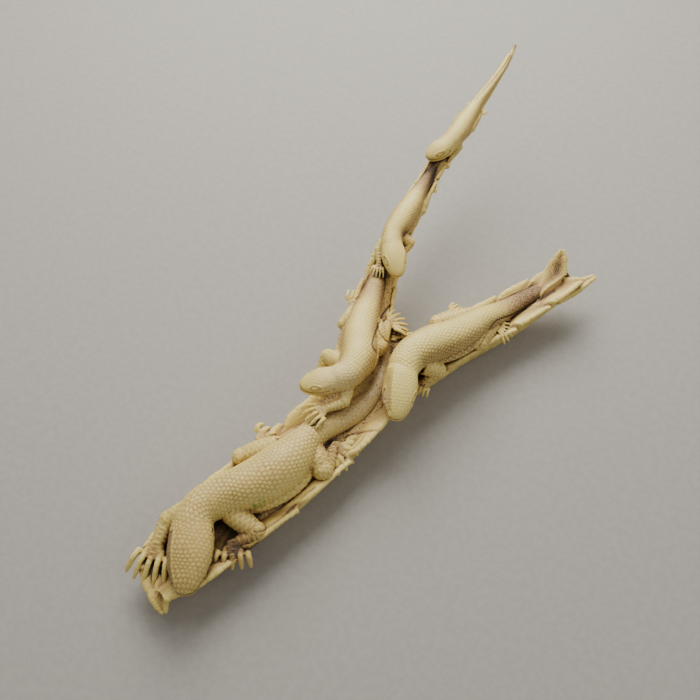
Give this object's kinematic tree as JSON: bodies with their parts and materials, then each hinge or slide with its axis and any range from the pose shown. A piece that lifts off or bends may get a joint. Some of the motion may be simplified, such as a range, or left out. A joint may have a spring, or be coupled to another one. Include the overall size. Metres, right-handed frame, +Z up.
{
  "type": "antler carving",
  "caption": "Forked antler carved in relief as a file of scaly lizards crawling head first down the beam, tine and branch between leafy rims, lying on its rounded underside.",
  "frame": {"origin": "on the surface the carving lies on, at the flat foot under the thick end of the beam", "axes": "+Y from the thick end towards the tip of the tine, along the longest extent; +Z up, away from the surface it lies on; +X towards the branch's side"},
  "size_m": [0.0844, 0.2474, 0.0466],
  "materials": {
    "antler": "satin"
  },
  "bodies": {
    "root": {"antler_carving": "antler"}
  },
  "joints": []
}
